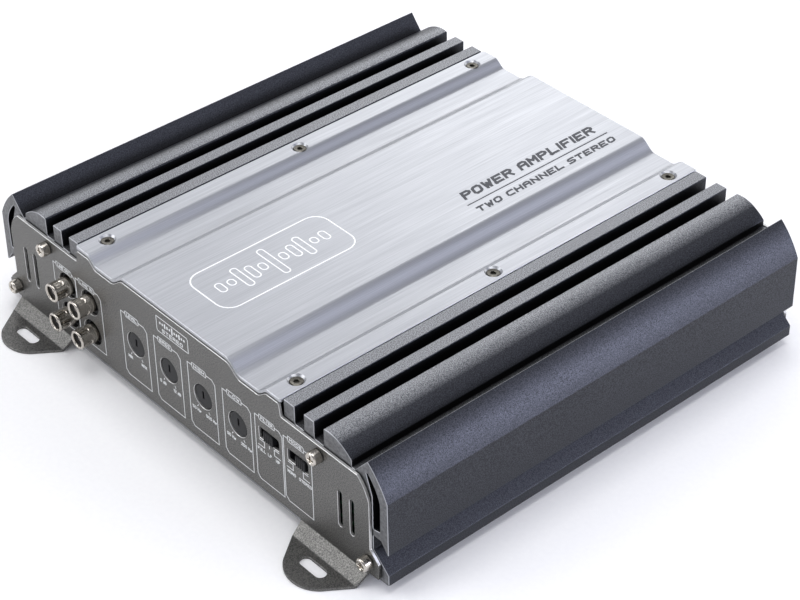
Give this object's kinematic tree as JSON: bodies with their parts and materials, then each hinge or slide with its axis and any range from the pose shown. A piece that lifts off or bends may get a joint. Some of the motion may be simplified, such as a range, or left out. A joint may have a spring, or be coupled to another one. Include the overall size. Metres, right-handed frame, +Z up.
{
  "type": "car amplifier",
  "caption": "Car audio amplifier in a finned extruded case with a brushed top plate, steel end panels with slotted mounting ears, phono sockets, turn controls, screw terminals and blade fuses.",
  "frame": {"origin": "on the surface that the ears stand on, at the middle of the amplifier", "axes": "+Z up, +X to the right along the front panel, -Y out of the front panel"},
  "size_m": [0.24, 0.2596, 0.0575],
  "materials": {
    "anthracite_coat": "fine textured satin",
    "brushed_aluminium": "brushed lengthways, clear",
    "satin_steel": "satin, zinc plated",
    "zinc_sheet": "plain zinc plated",
    "nickel": "bright nickel plate",
    "black_plastic": "moulded, fine grain",
    "green_board": "solder resist",
    "copper_winding": "enamelled wire",
    "black_sleeve": "shrink sleeve",
    "spring_steel": "rolled",
    "amber_plastic": "translucent",
    "green_lens": "clear tinted",
    "print_ink": "screen printed"
  },
  "bodies": {
    "amplifier": {"heatsink_chassis": "anthracite_coat", "top_plate": "brushed_aluminium", "plate_screw_1": "nickel", "plate_screw_2": "nickel", "plate_screw_3": "nickel", "plate_screw_4": "nickel", "plate_screw_5": "nickel", "plate_screw_6": "nickel", "front_panel": "satin_steel", "rear_panel": "satin_steel", "bottom_cover": "zinc_sheet", "front_panel_screw_1": "nickel", "rear_panel_screw_1": "nickel", "front_panel_screw_2": "nickel", "rear_panel_screw_2": "nickel", "front_panel_screw_3": "nickel", "rear_panel_screw_3": "nickel", "front_panel_screw_4": "nickel", "rear_panel_screw_4": "nickel", "circuit_board": "green_board", "transformer_toroid": "copper_winding", "output_choke": "copper_winding", "reservoir_capacitor_1": "black_sleeve", "reservoir_capacitor_2": "black_sleeve", "power_transistor_right_1": "black_plastic", "power_transistor_right_2": "black_plastic", "transistor_clip_right": "spring_steel", "power_transistor_left_1": "black_plastic", "power_transistor_left_2": "black_plastic", "transistor_clip_left": "spring_steel", "phono_socket_block": "black_plastic", "phono_sleeve_1": "nickel", "pot_case_1": "black_plastic", "phono_sleeve_2": "nickel", "pot_case_2": "black_plastic", "phono_sleeve_3": "nickel", "pot_case_3": "black_plastic", "phono_sleeve_4": "nickel", "pot_case_4": "black_plastic", "filter_switch_case": "black_plastic", "mode_switch_case": "black_plastic", "power_terminal_block": "black_plastic", "speaker_terminal_block": "black_plastic", "fuse_holder": "black_plastic", "status_light": "green_lens"},
    "pot_cap_1": {"pot_cap_1": "black_plastic"},
    "pot_cap_2": {"pot_cap_2": "black_plastic"},
    "pot_cap_3": {"pot_cap_3": "black_plastic"},
    "pot_cap_4": {"pot_cap_4": "black_plastic"},
    "filter_switch_knob": {"filter_switch_knob": "black_plastic"},
    "mode_switch_knob": {"mode_switch_knob": "black_plastic"},
    "power_terminal_screw_1": {"power_terminal_screw_1": "nickel"},
    "power_terminal_screw_2": {"power_terminal_screw_2": "nickel"},
    "power_terminal_screw_3": {"power_terminal_screw_3": "nickel"},
    "speaker_terminal_screw_1": {"speaker_terminal_screw_1": "nickel"},
    "speaker_terminal_screw_2": {"speaker_terminal_screw_2": "nickel"},
    "speaker_terminal_screw_3": {"speaker_terminal_screw_3": "nickel"},
    "speaker_terminal_screw_4": {"speaker_terminal_screw_4": "nickel"},
    "blade_fuse_1": {"blade_fuse_1": "amber_plastic"},
    "blade_fuse_2": {"blade_fuse_2": "amber_plastic"}
  },
  "joints": [
    {"name": "pot_1_turn", "type": "hinge", "parent": "amplifier", "child": "pot_cap_1", "pos_m": [-0.0268, -0.1095, 0.0285], "axis": [0, -1, 0], "range_deg": [-140, 140]},
    {"name": "pot_2_turn", "type": "hinge", "parent": "amplifier", "child": "pot_cap_2", "pos_m": [-0.0055, -0.1095, 0.0285], "axis": [0, -1, 0], "range_deg": [-140, 140]},
    {"name": "pot_3_turn", "type": "hinge", "parent": "amplifier", "child": "pot_cap_3", "pos_m": [0.0158, -0.1095, 0.0285], "axis": [0, -1, 0], "range_deg": [-140, 140]},
    {"name": "pot_4_turn", "type": "hinge", "parent": "amplifier", "child": "pot_cap_4", "pos_m": [0.0371, -0.1095, 0.0285], "axis": [0, -1, 0], "range_deg": [-140, 140]},
    {"name": "filter_switch_slide", "type": "slide", "parent": "amplifier", "child": "filter_switch_knob", "axis": [1, 0, 0], "range_m": [-0.0027, 0.0027]},
    {"name": "mode_switch_slide", "type": "slide", "parent": "amplifier", "child": "mode_switch_knob", "axis": [1, 0, 0], "range_m": [-0.0036, 0]},
    {"name": "power_screw_1_turn", "type": "hinge", "parent": "amplifier", "child": "power_terminal_screw_1", "pos_m": [0.067, 0.1095, 0.0282], "axis": [0, 1, 0], "range_deg": [0, 360]},
    {"name": "power_screw_2_turn", "type": "hinge", "parent": "amplifier", "child": "power_terminal_screw_2", "pos_m": [0.054, 0.1095, 0.0282], "axis": [0, 1, 0], "range_deg": [0, 360]},
    {"name": "power_screw_3_turn", "type": "hinge", "parent": "amplifier", "child": "power_terminal_screw_3", "pos_m": [0.041, 0.1095, 0.0282], "axis": [0, 1, 0], "range_deg": [0, 360]},
    {"name": "speaker_screw_1_turn", "type": "hinge", "parent": "amplifier", "child": "speaker_terminal_screw_1", "pos_m": [-0.03725, 0.1095, 0.0282], "axis": [0, 1, 0], "range_deg": [0, 360]},
    {"name": "speaker_screw_2_turn", "type": "hinge", "parent": "amplifier", "child": "speaker_terminal_screw_2", "pos_m": [-0.04775, 0.1095, 0.0282], "axis": [0, 1, 0], "range_deg": [0, 360]},
    {"name": "speaker_screw_3_turn", "type": "hinge", "parent": "amplifier", "child": "speaker_terminal_screw_3", "pos_m": [-0.05825, 0.1095, 0.0282], "axis": [0, 1, 0], "range_deg": [0, 360]},
    {"name": "speaker_screw_4_turn", "type": "hinge", "parent": "amplifier", "child": "speaker_terminal_screw_4", "pos_m": [-0.06875, 0.1095, 0.0282], "axis": [0, 1, 0], "range_deg": [0, 360]},
    {"name": "fuse_1_pull", "type": "slide", "parent": "amplifier", "child": "blade_fuse_1", "axis": [0, 1, 0], "range_m": [0, 0.012]},
    {"name": "fuse_2_pull", "type": "slide", "parent": "amplifier", "child": "blade_fuse_2", "axis": [0, 1, 0], "range_m": [0, 0.012]}
  ]
}
